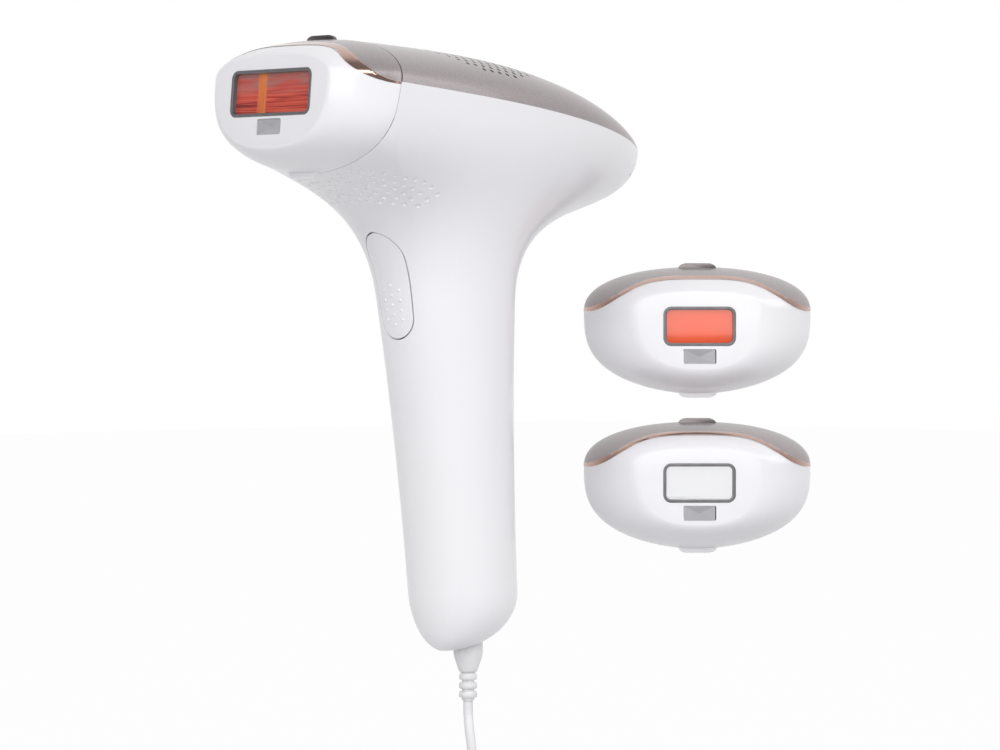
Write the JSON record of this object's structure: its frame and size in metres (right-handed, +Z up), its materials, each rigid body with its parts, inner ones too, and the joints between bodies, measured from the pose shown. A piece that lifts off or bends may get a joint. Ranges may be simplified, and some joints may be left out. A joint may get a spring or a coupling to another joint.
{
  "type": "ipl hair remover",
  "caption": "Corded light-based hair remover: pistol-shaped handset with a clip-on window attachment, spare window attachments and a mains adapter on its lead.",
  "frame": {"origin": "on the handle's axis at the middle of the grip, where a hand or a holder closes round it", "axes": "+Z up along the grip, -Y towards the skin through the treatment window, +X across the head to the user's left"},
  "size_m": [0.0736, 0.2004, 0.3848],
  "materials": {
    "white_shell": "satin white moulding",
    "pearl_cover": "pearl lacquer",
    "copper_trim": "polished copper colour",
    "dark_gloss": "gloss",
    "window_frame": "satin dark grey",
    "amber_glass": "coated orange filter glass",
    "clear_glass": "clear filter glass",
    "sensor_glass": "polished grey window",
    "light_guide": "milky light guide",
    "reflector_metal": "polished",
    "lamp_glass": "quartz tube",
    "ceramic": "matt",
    "gold_pads": "gold plated",
    "steel": "plain",
    "plated_pins": "nickel plated",
    "dark_plastic": "moulded",
    "black_plastic": "moulded",
    "grey_plastic": "moulded",
    "capacitor_can": "dark blue sleeve",
    "circuit_board": "green solder mask",
    "white_rubber": "matt white"
  },
  "bodies": {
    "handset": {"body_shell": "white_shell", "top_cover": "pearl_cover", "control_panel": "dark_gloss", "level_lights": "light_guide", "button_pin": "steel", "button_spring": "steel", "button_bracket": "dark_plastic", "microswitch": "black_plastic", "nose_plate": "dark_plastic", "lamp_window": "clear_glass", "reflector": "reflector_metal", "flash_lamp": "lamp_glass", "lamp_holders": "ceramic", "trigger_coil": "black_plastic", "contact_pads": "gold_pads", "skin_sensor": "black_plastic", "fan_frame": "black_plastic", "chassis": "grey_plastic", "chassis_screws": "steel", "capacitor": "capacitor_can", "main_board": "circuit_board", "control_board": "circuit_board", "dc_socket": "black_plastic"},
    "flash_button": {"flash_button": "white_shell"},
    "power_button": {"power_button": "pearl_cover"},
    "level_button": {"level_button": "pearl_cover"},
    "fan_rotor": {"fan_rotor": "black_plastic"},
    "fitted_attachment": {"fitted_shell": "white_shell", "fitted_hood": "pearl_cover", "fitted_trim": "copper_trim", "fitted_frame": "window_frame", "fitted_filter": "amber_glass", "fitted_tunnel": "reflector_metal", "fitted_sensor_window": "sensor_glass", "fitted_coupling": "grey_plastic"},
    "amber_attachment": {"amber_shell": "white_shell", "amber_hood": "pearl_cover", "amber_trim": "copper_trim", "amber_frame": "window_frame", "amber_filter": "amber_glass", "amber_tunnel": "reflector_metal", "amber_sensor_window": "sensor_glass", "amber_coupling": "grey_plastic"},
    "clear_attachment": {"clear_shell": "white_shell", "clear_hood": "pearl_cover", "clear_trim": "copper_trim", "clear_frame": "window_frame", "clear_filter": "clear_glass", "clear_tunnel": "reflector_metal", "clear_sensor_window": "sensor_glass", "clear_coupling": "grey_plastic"},
    "power_lead": {"power_plug": "white_rubber", "cord": "white_rubber", "cord_hank": "white_rubber", "hank_tie": "black_plastic", "cord_end": "white_rubber", "adapter_case": "white_shell", "adapter_pins": "plated_pins"}
  },
  "joints": [
    {"name": "flash_button_press", "type": "hinge", "parent": "handset", "child": "flash_button", "pos_m": [0, -0.02045, 0.0615], "axis": [1, 0, 0], "range_deg": [0, 2.3], "stiffness_Nm_per_rad": 0.6, "springref_deg": -2.29},
    {"name": "power_button_press", "type": "slide", "parent": "handset", "child": "power_button", "axis": [0, -0.342, -0.9397], "range_m": [0, 0.0006], "stiffness_N_per_m": 1500, "springref_m": -0.0005},
    {"name": "level_button_press", "type": "slide", "parent": "handset", "child": "level_button", "axis": [0, -0.4226, -0.9063], "range_m": [0, 0.0006], "stiffness_N_per_m": 1500, "springref_m": -0.0005},
    {"name": "fan_spin", "type": "hinge", "parent": "handset", "child": "fan_rotor", "pos_m": [0, 0.00679, 0.10029], "axis": [0, 0.0872, 0.9962], "continuous": true},
    {"name": "attachment_release", "type": "slide", "parent": "handset", "child": "fitted_attachment", "axis": [0, -0.9856, 0.1693], "range_m": [0, 0.03]},
    {"name": "plug_release", "type": "slide", "parent": "handset", "child": "power_lead", "axis": [0, 0, -1], "range_m": [0, 0.02]},
    {"name": "amber_spare_away", "type": "slide", "parent": "handset", "child": "amber_attachment", "axis": [-0.7193, 0.6947, 0], "range_m": [0, 0.05]},
    {"name": "clear_spare_away", "type": "slide", "parent": "handset", "child": "clear_attachment", "axis": [-0.7193, 0.6947, 0], "range_m": [0, 0.05]}
  ]
}
